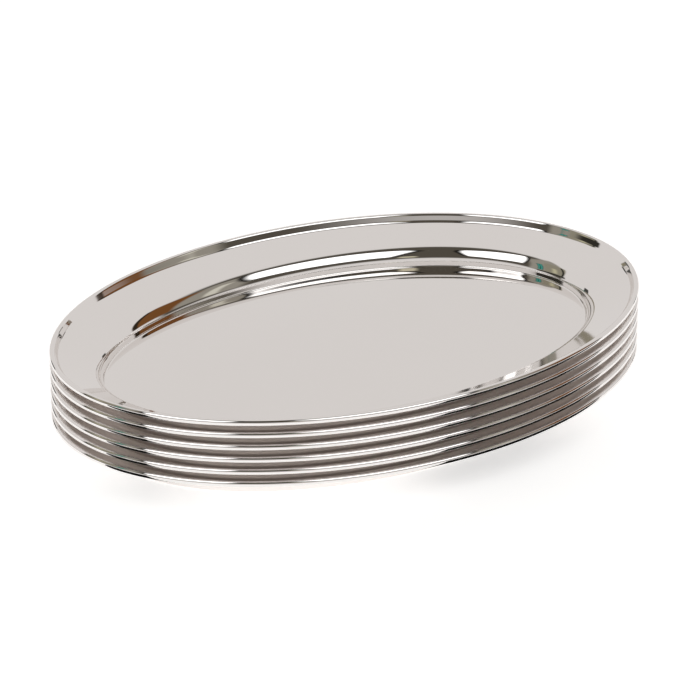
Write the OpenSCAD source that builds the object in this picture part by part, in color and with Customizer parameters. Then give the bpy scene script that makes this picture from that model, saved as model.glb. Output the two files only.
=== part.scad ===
// Stack of nested oval serving trays.
// Each tray is one pressed sheet of stainless steel: a flat oval floor, a steep wall, a rounded
// shoulder, a wide flange that slopes up and outwards, a short steep collar, and an edge rolled
// over into a hollow bead.
// The trays are alike and nest into each other, each one lifting straight up off the one below.
// Millimetres. The origin is under the middle of the bottom tray, +X along the trays' length,
// +Z up.

/* [Tray] */
// Length over the rolled rim
tray_length = 500; // [480:5:520]
// Width over the rolled rim
tray_width = 335; // [325:5:350]
// Thickness of the sheet
sheet_t = 0.8; // [0.6:0.1:1]

/* [Rim] */
// Outside diameter of the rolled bead
bead_d = 5; // [4.6:0.1:5.4]
// Angle at which the sheet ends inside the roll, below the horizontal
curl_end = 140; // [120:5:145]
// Slope of the straight collar that runs down from the inner side of the bead
collar_slope = 63; // [60:1:66]
// Length of the collar down its slope
collar_l = 4; // [3.5:0.1:4.5]
// Radius of the hollow where the collar meets the flange
foot_r = 3.5; // [3:0.1:4]

/* [Flange] */
// From the middle of the bead to the start of the shoulder, measured level
flange_w = 30.6; // [29:0.2:31]
// Slope of the flange above the horizontal
flange_slope = 21; // [20:0.5:22]

/* [Well] */
// From the middle of the bead down to the upper face of the floor
well_depth = 27.9; // [27.5:0.1:34]
// Radius of the round shoulder between flange and wall
shoulder_r = 15.5; // [13:0.5:15.5]
// Slope at which the shoulder tightens into the wall
shoulder_end = 70; // [60:1:72]
// Radius of the tighter turn from the shoulder into the wall
knee_r = 5; // [4:0.5:6]
// How far the wall leans out from the vertical
wall_draft = 6; // [6:0.5:12]
// Radius of the hollow between wall and floor
floor_r = 1.5; // [1.2:0.1:1.8]

/* [Stack] */
// Height from one tray to the next in the stack
nest_pitch = 10.6; // [10:0.1:14]

/* [Hidden] */
NODES = ["tray_1", "tray_2", "tray_3", "tray_4", "tray_5", "tray_6"];
$fn = 144;

bead_r = bead_d / 2;
bead_z = well_depth + sheet_t;

// The plan is an oval of three radii, close to an ellipse, along the middle of the bead.
// The end arc meets the next one on a line through both centres along end_dir, and that one meets
// the side arc along side_dir. The directions are whole-number triangles, so the joints are exact.
half_l = tray_length / 2 - bead_r;
half_w = tray_width / 2 - bead_r;
end_dir = [0.8, 0.6];
side_dir = [0.352, 0.936];
side_step = 175;
end_step = (half_l - half_w - side_step * (side_dir.x + side_dir.y - 1)) / (end_dir.x + end_dir.y - 1);
end_r = half_w - end_step * (1 - end_dir.y) - side_step * (1 - side_dir.y);
mid_r = end_r + end_step;
side_r = mid_r + side_step;
end_c = [half_l - end_r, 0];
mid_c = end_c - end_step * end_dir;
side_c = mid_c - side_step * side_dir;

// The section is drawn about the middle of the bead: outwards is positive, up is positive.
// The collar runs down off the bead along a tangent, and the foot's hollow turns it into the flange.
collar_a = 90 + collar_slope;
collar_up = [cos(collar_a), sin(collar_a)];
collar_e = bead_r * collar_up - collar_l * [cos(collar_slope), sin(collar_slope)];
foot_c = collar_e + foot_r * collar_up;

// The flange's upper face runs along a line foot_drop below the middle of the bead.
slope_up = [-sin(flange_slope), cos(flange_slope)];
foot_drop = foot_r - foot_c * slope_up;

// The shoulder starts on the flange's upper face at flange_w, and the knee turns on into the wall.
shoulder_s = [-flange_w, (slope_up.x * flange_w - foot_drop) / slope_up.y];
shoulder_c = shoulder_s - shoulder_r * slope_up;
knee_a = 90 + shoulder_end;
knee_c = shoulder_c + (shoulder_r - knee_r) * [cos(knee_a), sin(knee_a)];
wall_a = 180 - wall_draft;
wall_s = knee_c + knee_r * [cos(wall_a), sin(wall_a)];

// The wall runs down from the knee and is tangent to the floor's hollow.
floor_cz = floor_r - well_depth;
floor_s = floor_cz - floor_r * sin(wall_draft);
floor_sx = wall_s.x - (wall_s.y - floor_s) * tan(wall_draft);
floor_c = [floor_sx - floor_r * cos(wall_draft), floor_cz];

// The section runs in this far along the floor, and the plate that fills the middle laps over it.
floor_lap = 16;
plate_inset = 6 - floor_c.x;
plate_steps = 6;

// Points along an arc; first is 1 where the arc goes on from the end of the one before it
function arc(c, r, from, to, steps, first = 0) =
    [for (i = [first : steps]) let (a = from + (to - from) * i / steps) c + r * [cos(a), sin(a)]];

// One face of the sheet, from the end of the roll to the floor; t is the depth below the upper face
function face(t) = concat(
    arc([0, 0], bead_r - t, -curl_end, collar_a, 11),
    arc(foot_c, foot_r + t, collar_slope - 90, flange_slope - 90, 3),
    arc(shoulder_c, shoulder_r - t, 90 + flange_slope, knee_a, 5),
    arc(knee_c, knee_r - t, knee_a, wall_a, 2, 1),
    arc(floor_c, floor_r + t, -wall_draft, -90, 3),
    [[floor_c.x - floor_lap, -well_depth - t]]
);

function reversed(list) = [for (i = [len(list) - 1 : -1 : 0]) list[i]];

// Points inside one quarter of the plan, drawn in from the bead by inset, along the arc about c
function inner_arc(c, r, from, to) = arc(c, r - plate_inset, from, to, plate_steps);

module sheet_section() {
    polygon(concat(face(0), reversed(face(sheet_t))));
}

// The part of a ring about c, of radius r to the middle of the bead, that lies inside the outline
module swept_arc(c, r, outline) {
    intersection() {
        translate([c.x, c.y, bead_z])
            rotate_extrude()
                translate([r, 0])
                    sheet_section();
        linear_extrude(bead_z + bead_d)
            polygon(outline);
    }
}

// Half the end, the arc beside it and half the side, each cut off where it meets the next
module tray_quarter() {
    reach = tray_length;
    swept_arc(end_c, end_r, [end_c, end_c + [reach, 0], end_c + reach * end_dir]);
    swept_arc(mid_c, mid_r, [mid_c, mid_c + reach * end_dir, mid_c + reach * side_dir]);
    swept_arc(side_c, side_r, [side_c, side_c + 2 * reach * side_dir, side_c + [0, 2 * reach]]);
}

module floor_plate() {
    corner = concat(
        inner_arc(end_c, end_r, 0, atan2(end_dir.y, end_dir.x)),
        inner_arc(mid_c, mid_r, atan2(end_dir.y, end_dir.x), atan2(side_dir.y, side_dir.x)),
        inner_arc(side_c, side_r, atan2(side_dir.y, side_dir.x), 90)
    );
    linear_extrude(sheet_t)
        polygon(concat(
            corner,
            [for (p = reversed(corner)) [-p.x, p.y]],
            [for (p = corner) -p],
            [for (p = reversed(corner)) [p.x, -p.y]]
        ));
}

module tray() {
    for (flip_x = [0, 1], flip_y = [0, 1])
        mirror([flip_x, 0, 0])
            mirror([0, flip_y, 0])
                tray_quarter();
    floor_plate();
}

module stacked_tray(level) {
    color("silver")
        translate([0, 0, level * nest_pitch])
            tray();
}

for (level = [0 : len(NODES) - 1])
    stacked_tray(level);
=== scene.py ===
# A nested stack of oval serving trays in mirror-polished stainless steel, on a pale table.
# Metres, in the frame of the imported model: +X along the trays, +Z up, origin under the bottom tray.
import math
import bpy
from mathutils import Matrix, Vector


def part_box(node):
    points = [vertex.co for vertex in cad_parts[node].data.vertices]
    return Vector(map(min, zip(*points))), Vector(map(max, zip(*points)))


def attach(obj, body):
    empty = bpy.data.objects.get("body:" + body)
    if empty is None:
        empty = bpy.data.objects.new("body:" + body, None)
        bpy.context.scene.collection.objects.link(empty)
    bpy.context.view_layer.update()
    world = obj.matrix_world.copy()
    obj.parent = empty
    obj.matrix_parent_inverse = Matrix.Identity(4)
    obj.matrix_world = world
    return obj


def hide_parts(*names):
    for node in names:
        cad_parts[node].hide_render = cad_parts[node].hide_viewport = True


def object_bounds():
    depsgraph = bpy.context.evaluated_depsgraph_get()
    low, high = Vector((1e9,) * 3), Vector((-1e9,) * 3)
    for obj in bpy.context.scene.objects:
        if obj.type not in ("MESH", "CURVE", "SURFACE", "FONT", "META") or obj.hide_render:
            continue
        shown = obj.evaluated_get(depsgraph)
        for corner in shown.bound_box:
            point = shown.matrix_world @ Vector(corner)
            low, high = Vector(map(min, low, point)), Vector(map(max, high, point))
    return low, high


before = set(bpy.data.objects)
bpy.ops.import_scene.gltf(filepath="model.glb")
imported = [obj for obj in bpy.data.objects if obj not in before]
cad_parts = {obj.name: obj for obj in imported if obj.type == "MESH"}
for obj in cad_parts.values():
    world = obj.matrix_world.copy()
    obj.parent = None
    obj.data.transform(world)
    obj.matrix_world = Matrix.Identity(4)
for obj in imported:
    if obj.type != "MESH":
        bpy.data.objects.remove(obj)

cad_low, cad_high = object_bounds()
scene = bpy.context.scene

# ---- Camera ----
# A long lens a few metres away looks down on the stack from the front left, so the trays lie
# at an angle across the view and the top tray's well opens towards the camera.
VIEW_TURN = math.radians(-26.79)
VIEW_HEIGHT = math.radians(27.07)
VIEW_DISTANCE = 3.465
LENS = 223.1
SENSOR = 36.0
FARTHEST = 100.0
AIM_SIDE = 0.0012
AIM_UP = -0.0284
BEAD_R = 0.0025
LIGHT_BOUNCES = 32

rim_centre_z = cad_high.z - BEAD_R
to_camera = (
    math.sin(VIEW_TURN) * math.cos(VIEW_HEIGHT),
    -math.cos(VIEW_TURN) * math.cos(VIEW_HEIGHT),
    math.sin(VIEW_HEIGHT),
)
view_right = (math.cos(VIEW_TURN), math.sin(VIEW_TURN), 0.0)
view_up = (
    -math.sin(VIEW_TURN) * math.sin(VIEW_HEIGHT),
    math.cos(VIEW_TURN) * math.sin(VIEW_HEIGHT),
    math.cos(VIEW_HEIGHT),
)
bpy.ops.object.select_all(action="DESELECT")
bpy.ops.object.camera_add()
camera = bpy.context.object
camera.name = "camera"
camera.data.sensor_width = SENSOR
camera.data.lens = LENS
camera.data.clip_end = FARTHEST
camera.location = [
    VIEW_DISTANCE * to_camera[i] + AIM_SIDE * view_right[i] + AIM_UP * view_up[i] + (0, 0, rim_centre_z)[i]
    for i in range(3)
]
camera.rotation_euler = (math.pi / 2 - VIEW_HEIGHT, 0.0, VIEW_TURN)
scene.camera = camera
scene.view_settings.view_transform = "Standard"
# light goes back and forth many times between the nested mirror sheets
scene.cycles.max_bounces = LIGHT_BOUNCES
scene.cycles.glossy_bounces = LIGHT_BOUNCES

# ---- Tray ----
# Each tray is one oval sheet of stainless steel, pressed to a flat floor, a steep wall, a round
# shoulder and a sloping flange. Its edge is rolled up, out and under into a hollow bead.
SHEET = 0.0008
CURL_END = math.radians(-140)
COLLAR_SLOPE = math.radians(63)
COLLAR = 0.004
FOOT_R = 0.0035
FLANGE_W = 0.0306
FLANGE_SLOPE = math.radians(21)
WELL_DEPTH = 0.0279
SHOULDER_R = 0.0155
SHOULDER_END = math.radians(70)
KNEE_R = 0.005
WALL_LEAN = math.radians(6)
CORNER_R = 0.0015
ROUND_STEPS = 256
# degrees between points of the section: round the bead, the small radii and the shoulder
BEAD_STEP = 12
SMALL_STEP = 6
SHOULDER_STEP = 4
# two more rings on the floor near its corner, and two more at these shares of the way in
FLOOR_INSETS = (0.0006, 0.02)
FLOOR_SHARES = (0.6, 0.4)
CREASE = math.radians(40)
HAZE_SCALE = 9.0
HAZE_DETAIL = 4.0
HAZE_RANGE = (0.3, 0.7)
# tint and strength of the painted glow on the underside steel, which lightens the gaps between the trays
UNDERSIDE_GLOW_TINT = (1.0, 0.88, 0.82, 1.0)
UNDERSIDE_GLOW_STRENGTH = 0.03

tray_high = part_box("tray_1")[1]
half_length = tray_high.x - BEAD_R
half_width = tray_high.y - BEAD_R
bead_z = WELL_DEPTH + SHEET


def turn(centre, radius, start, end, step):
    """Points along an arc of the section, a step in degrees apart"""
    count = max(2, round(abs(math.degrees(end - start)) / step))
    angles = [start + (end - start) * i / count for i in range(count + 1)]
    return [(centre[0] + radius * math.cos(a), centre[1] + radius * math.sin(a)) for a in angles]


def line(start, end, shares):
    """Points at these shares of the way along a straight part of the section"""
    return [(start[0] + (end[0] - start[0]) * s, start[1] + (end[1] - start[1]) * s) for s in shares]


def tray_section():
    """The sheet's upper face from the end of the roll to the floor, (out, up) from the bead's middle"""
    facing = math.pi / 2 + COLLAR_SLOPE
    collar_up = (math.cos(facing), math.sin(facing))
    collar_from = (BEAD_R * collar_up[0], BEAD_R * collar_up[1])
    collar_to = (
        collar_from[0] - COLLAR * math.cos(COLLAR_SLOPE),
        collar_from[1] - COLLAR * math.sin(COLLAR_SLOPE),
    )
    foot = (collar_to[0] + FOOT_R * collar_up[0], collar_to[1] + FOOT_R * collar_up[1])
    up = (-math.sin(FLANGE_SLOPE), math.cos(FLANGE_SLOPE))
    flange_from = (foot[0] - FOOT_R * up[0], foot[1] - FOOT_R * up[1])
    flange_to = (-FLANGE_W, flange_from[1] - (FLANGE_W + flange_from[0]) * math.tan(FLANGE_SLOPE))
    shoulder = (flange_to[0] - SHOULDER_R * up[0], flange_to[1] - SHOULDER_R * up[1])
    knee_from = math.pi / 2 + SHOULDER_END
    knee_shift = SHOULDER_R - KNEE_R
    knee = (shoulder[0] + knee_shift * math.cos(knee_from), shoulder[1] + knee_shift * math.sin(knee_from))
    wall = math.pi - WALL_LEAN
    wall_from = (knee[0] + KNEE_R * math.cos(wall), knee[1] + KNEE_R * math.sin(wall))
    wall_to_z = CORNER_R * (1 - math.sin(WALL_LEAN)) - WELL_DEPTH
    wall_to = (wall_from[0] - (wall_from[1] - wall_to_z) * math.tan(WALL_LEAN), wall_to_z)
    corner = (wall_to[0] - CORNER_R * math.cos(WALL_LEAN), CORNER_R - WELL_DEPTH)
    return (
        turn((0, 0), BEAD_R, CURL_END, facing, BEAD_STEP)
        + line(collar_from, collar_to, (0.05, 0.5, 0.95))
        + turn(foot, FOOT_R, COLLAR_SLOPE - math.pi / 2, FLANGE_SLOPE - math.pi / 2, SMALL_STEP)
        + line(flange_from, flange_to, (0.03, 0.35, 0.65, 0.97))
        + turn(shoulder, SHOULDER_R, math.pi / 2 + FLANGE_SLOPE, knee_from, SHOULDER_STEP)
        + turn(knee, KNEE_R, knee_from, wall, SHOULDER_STEP)[1:]
        + line(wall_from, wall_to, (0.1, 0.9))
        + turn(corner, CORNER_R, -WALL_LEAN, -math.pi / 2, SMALL_STEP)
        + [(corner[0] - inset, -WELL_DEPTH) for inset in FLOOR_INSETS]
    )


def press_tray(name):
    """The sheet ring by ring from the roll to the floor, then given its thickness"""
    section = tray_section()
    bpy.ops.object.select_all(action="DESELECT")
    bpy.ops.mesh.primitive_circle_add(vertices=ROUND_STEPS, radius=1, location=(0, 0, 0))
    sheet = bpy.context.object
    sheet.name = name
    bpy.ops.object.mode_set(mode="EDIT")
    bpy.ops.mesh.select_all(action="SELECT")
    u, z = section[0]
    bpy.ops.transform.resize(value=(half_length + u, half_width + u, 1), center_override=(0, 0, 0))
    bpy.ops.transform.translate(value=(0, 0, z + bead_z))
    for next_u, next_z in section[1:]:
        bpy.ops.mesh.extrude_edges_move(TRANSFORM_OT_translate={"value": (0, 0, next_z - z)})
        ratio = ((half_length + next_u) / (half_length + u), (half_width + next_u) / (half_width + u), 1)
        bpy.ops.transform.resize(value=ratio, center_override=(0, 0, 0))
        u, z = next_u, next_z
    for ratio in FLOOR_SHARES:
        bpy.ops.mesh.extrude_edges_move(TRANSFORM_OT_translate={"value": (0, 0, 0)})
        bpy.ops.transform.resize(value=(ratio, ratio, 1), center_override=(0, 0, 0))
    bpy.ops.mesh.edge_face_add()
    bpy.ops.mesh.select_all(action="SELECT")
    bpy.ops.mesh.normals_make_consistent(inside=False)
    bpy.ops.object.mode_set(mode="OBJECT")
    floor_face = min(sheet.data.polygons, key=lambda f: f.center.length)
    if floor_face.normal.z < 0:
        bpy.ops.object.mode_set(mode="EDIT")
        bpy.ops.mesh.select_all(action="SELECT")
        bpy.ops.mesh.flip_normals()
        bpy.ops.object.mode_set(mode="OBJECT")
    bpy.ops.object.shade_smooth()
    sheet.data.materials.append(steel)
    sheet.data.materials.append(underside)
    thickness = sheet.modifiers.new("sheet", "SOLIDIFY")
    thickness.thickness = SHEET
    thickness.offset = -1
    thickness.material_offset = 1
    bpy.ops.object.modifier_apply(modifier=thickness.name)
    bpy.ops.object.shade_smooth_by_angle(angle=CREASE)
    return sheet


def polished_steel(name, dark, light, sharp, hazy):
    """Stainless steel between two tints and two roughnesses, with faint polishing and handling haze"""
    steel = bpy.data.materials.new(name)
    steel.use_nodes = True
    nodes, links = steel.node_tree.nodes, steel.node_tree.links
    shader = nodes["Principled BSDF"]
    shader.inputs["Metallic"].default_value = 1.0
    place = nodes.new("ShaderNodeTexCoord")
    haze = nodes.new("ShaderNodeTexNoise")
    haze.inputs["Scale"].default_value = HAZE_SCALE
    haze.inputs["Detail"].default_value = HAZE_DETAIL
    links.new(place.outputs["Object"], haze.inputs["Vector"])
    tint = nodes.new("ShaderNodeMix")
    tint.data_type = "RGBA"
    tint.inputs["A"].default_value = (*dark, 1.0)
    tint.inputs["B"].default_value = (*light, 1.0)
    links.new(haze.outputs["Fac"], tint.inputs["Factor"])
    links.new(tint.outputs["Result"], shader.inputs["Base Color"])
    dull = nodes.new("ShaderNodeMapRange")
    dull.inputs["From Min"].default_value = HAZE_RANGE[0]
    dull.inputs["From Max"].default_value = HAZE_RANGE[1]
    dull.inputs["To Min"].default_value = sharp
    dull.inputs["To Max"].default_value = hazy
    links.new(haze.outputs["Fac"], dull.inputs["Value"])
    links.new(dull.outputs["Result"], shader.inputs["Roughness"])
    return steel


steel = polished_steel("polished_steel", (0.86, 0.835, 0.82), (0.88, 0.86, 0.845), 0.02, 0.045)
# the underside steel is rougher and painted a lighter tint than the top: painted light that lightens the
# gaps between the nested trays
underside = polished_steel("underside_steel_painted_glow", (0.9, 0.865, 0.84), (0.92, 0.89, 0.87), 0.3, 0.38)
# a faint painted glow over the whole underside steel, standing in for the light between the nested sheets
underside_glow = underside.node_tree.nodes["Principled BSDF"]
underside_glow.inputs["Emission Color"].default_value = UNDERSIDE_GLOW_TINT
underside_glow.inputs["Emission Strength"].default_value = UNDERSIDE_GLOW_STRENGTH

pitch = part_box("tray_2")[0].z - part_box("tray_1")[0].z
bottom_sheet = press_tray("sheet_1")
trays = sorted(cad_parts)
sheets = [bottom_sheet]
for count in range(1, len(trays)):
    sheet = bottom_sheet.copy()
    sheet.data = bottom_sheet.data.copy()
    sheet.name = f"sheet_{count + 1}"
    scene.collection.objects.link(sheet)
    bpy.ops.object.select_all(action="DESELECT")
    sheet.select_set(True)
    bpy.context.view_layer.objects.active = sheet
    sheet.location.z = pitch * count
    bpy.ops.object.transform_apply(location=True, rotation=False, scale=False)
    sheets.append(sheet)
for sheet, tray in zip(sheets, trays):
    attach(sheet, tray)
    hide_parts(tray)

# ---- Table and studio ----
# A pale table top under the stack, with two black cards on it under the near rim, of which only
# the reflection in the steel shows. The studio round it is what the polished steel mirrors: a
# light backdrop behind, two soft boxes overhead, and a darker room behind the camera.
TABLE_SIZE = 12
TABLE_Z = -0.0002
TABLE_GLOW = 0.55
CARD_Z = 0.0001
# corners in metres: to the camera's right, towards the camera
CARDS = {
    "card_right": ((0.045, 0.125), (0.706, 0.642), (0.959, -0.163), (0.155, 0.055)),
    "card_left": ((-0.13, 0.15), (-0.72, 0.738), (-0.931, 0.443), (-0.165, 0.135)),
}


def matt_paint(name, grey, roughness):
    """A plain paint of one grey, without gloss"""
    paint = bpy.data.materials.new(name)
    paint.use_nodes = True
    shader = paint.node_tree.nodes["Principled BSDF"]
    shader.inputs["Base Color"].default_value = (grey, grey, grey, 1.0)
    shader.inputs["Roughness"].default_value = roughness
    shader.inputs["Specular IOR Level"].default_value = 0.0
    return paint


bpy.ops.object.select_all(action="DESELECT")
bpy.ops.mesh.primitive_plane_add(size=TABLE_SIZE, location=(0, 0, TABLE_Z))
table = bpy.context.object
table.name = "table"
table_paint = matt_paint("table_top", 0.8, 0.9)
table_shader = table_paint.node_tree.nodes["Principled BSDF"]
table_shader.inputs["Emission Color"].default_value = (1.0, 1.0, 1.0, 1.0)
table_shader.inputs["Emission Strength"].default_value = TABLE_GLOW
table.data.materials.append(table_paint)

black = matt_paint("black_card", 0.01, 1.0)
for name, corners in CARDS.items():
    bpy.ops.object.select_all(action="DESELECT")
    bpy.ops.mesh.primitive_plane_add(size=1, location=(0, 0, 0))
    card = bpy.context.object
    card.name = name
    for (side, near), index in zip(corners, (0, 1, 3, 2)):
        card.data.vertices[index].co = (
            side * view_right[0] + near * math.sin(VIEW_TURN),
            side * view_right[1] - near * math.cos(VIEW_TURN),
            CARD_Z,
        )
    card.data.materials.append(black)
    card.visible_camera = False
    card.visible_diffuse = False
    card.visible_shadow = False

room = bpy.data.worlds.new("studio")
scene.world = room
room.use_nodes = True
room_nodes, room_links = room.node_tree.nodes, room.node_tree.links
room_nodes.clear()
sight = room_nodes.new("ShaderNodeTexCoord")
turned = room_nodes.new("ShaderNodeVectorRotate")
turned.rotation_type = "Z_AXIS"
turned.inputs["Angle"].default_value = -VIEW_TURN
room_links.new(sight.outputs["Generated"], turned.inputs["Vector"])


def ray(bearing, height):
    """The direction at a bearing from straight behind the camera, to its right, and a height in degrees"""
    b, h = math.radians(bearing), math.radians(height)
    return Vector((math.sin(b) * math.cos(h), -math.cos(b) * math.cos(h), math.sin(h)))


def panel(corners, soft, grow):
    """1 inside the straight-edged panel with these corners and 0 outside it; soft and grow in degrees"""
    rays = [ray(*corner) for corner in corners]
    middle = sum(rays, Vector())
    mask = None
    for start, end in zip(rays, rays[1:] + rays[:1]):
        edge = start.cross(end).normalized()
        if edge.dot(middle) < 0:
            edge.negate()
        across = room_nodes.new("ShaderNodeVectorMath")
        across.operation = "DOT_PRODUCT"
        across.inputs[1].default_value = edge
        room_links.new(turned.outputs["Vector"], across.inputs[0])
        side = room_nodes.new("ShaderNodeMapRange")
        side.interpolation_type = "SMOOTHSTEP"
        side.inputs["From Min"].default_value = math.radians(-grow - soft)
        side.inputs["From Max"].default_value = math.radians(-grow + soft)
        room_links.new(across.outputs["Value"], side.inputs["Value"])
        if mask is None:
            mask = side.outputs["Result"]
        else:
            both = room_nodes.new("ShaderNodeMath")
            both.operation = "MULTIPLY"
            room_links.new(mask, both.inputs[0])
            room_links.new(side.outputs["Result"], both.inputs[1])
            mask = both.outputs[0]
    return mask


def paint_room(under, colour, mask):
    """Lays a colour over what is already in the studio, where the mask is 1"""
    layer = room_nodes.new("ShaderNodeMix")
    layer.data_type = "RGBA"
    room_links.new(mask, layer.inputs["Factor"])
    if under is None:
        layer.inputs["A"].default_value = BACKDROP
    else:
        room_links.new(under, layer.inputs["A"])
    layer.inputs["B"].default_value = (*colour, 1.0)
    return layer.outputs["Result"]


BACKDROP = (0.74, 0.715, 0.7, 1.0)
OLIVE_GREY = (0.30, 0.28, 0.24)
TEAL = (0.06, 0.3, 0.25)
POST = (0.06, 0.06, 0.055)
SOOT = (0.015, 0.014, 0.012)
LAMP = (1.7, 1.7, 1.7)
left_box = ((-12, 48), (-13.5, 42.5), (-30, 37), (-50, 36), (-100, 69), (-60, 78), (-22, 78), (-12, 68))
right_box = ((21, 48), (22, 42.5), (40, 38.5), (64, 36), (95, 61), (80, 73), (45, 78), (24, 74), (21, 66))
# each panel's colour, corners as (bearing, height), softness and growth, from the farthest to the nearest
PANELS = (
    # the dark room behind the camera and over it, up to the top edge of the backdrop
    ((0.085, 0.075, 0.06), ((-90, 0.1), (0, 27), (90, 0.1), (180, 76)), 5, 0),
    # olive and teal furniture to the left
    (OLIVE_GREY, ((-92, 18), (-52, 18), (-75, 62), (-128, 60)), 2.5, 0),
    ((0.27, 0.25, 0.19), ((-92, 19), (-68, 19), (-80, 48), (-95, 56), (-116, 46)), 1.5, 0),
    ((0.5, 0.47, 0.32), ((-85, 22), (-79, 22), (-86, 40), (-92, 40)), 2.5, 0),
    ((0.02, 0.02, 0.018), ((-93, 18), (-90.5, 18), (-106, 46), (-113, 49)), 0.8, 0),
    ((0.02, 0.1, 0.085), ((-67.5, 22), (-61.5, 22), (-70.5, 48), (-78, 48)), 0.8, 0),
    (TEAL, ((-66.5, 22), (-65, 22), (-74, 47), (-76.5, 47)), 0.5, 0),
    (TEAL, ((-63.6, 22), (-62.2, 22), (-71, 47), (-73, 47)), 0.5, 0),
    # olive and brown furniture to the right
    (OLIVE_GREY, ((62, 18), (90, 14), (98, 56), (72, 60)), 2.5, 0),
    ((0.62, 0.6, 0.52), ((70, 20), (75, 20), (83, 47), (78, 47)), 1.2, 0),
    ((0.17, 0.07, 0.022), ((86, 14), (106, 8), (116, 44), (92, 48)), 2, 0),
    ((0.03, 0.02, 0.012), ((103, 9), (106.5, 8), (117, 42), (113, 42)), 0.8, 0),
    # a dark base on the left and a post either side
    ((0.03, 0.028, 0.022), ((-96, 12), (-60, 13), (-60, 18), (-96, 18)), 1.2, 0),
    (POST, ((-142, 1), (-130, 1), (-133, 17), (-141, 17)), 0.8, 0),
    (POST, ((134, 0.5), (142, 0.5), (141, 9), (136, 9)), 0.8, 0),
    # the two soft boxes in their black frames, and a cream card between them
    (SOOT, left_box, 0.7, 2),
    (SOOT, right_box, 0.7, 2),
    ((0.6, 0.56, 0.42), ((11, 34), (18, 34), (17.5, 41), (11.5, 41)), 1.2, 0),
    (LAMP, left_box, 1.2, 0),
    (LAMP, right_box, 1.2, 0),
)
view = None
for colour, corners, soft, grow in PANELS:
    view = paint_room(view, colour, panel(corners, soft, grow))

glow = room_nodes.new("ShaderNodeBackground")
room_links.new(view, glow.inputs["Color"])
plain = room_nodes.new("ShaderNodeBackground")
plain.inputs["Color"].default_value = (1.0, 1.0, 1.0, 1.0)
seen = room_nodes.new("ShaderNodeLightPath")
pick = room_nodes.new("ShaderNodeMixShader")
room_links.new(seen.outputs["Is Camera Ray"], pick.inputs["Fac"])
room_links.new(glow.outputs["Background"], pick.inputs[1])
room_links.new(plain.outputs["Background"], pick.inputs[2])
out = room_nodes.new("ShaderNodeOutputWorld")
room_links.new(pick.outputs["Shader"], out.inputs["Surface"])
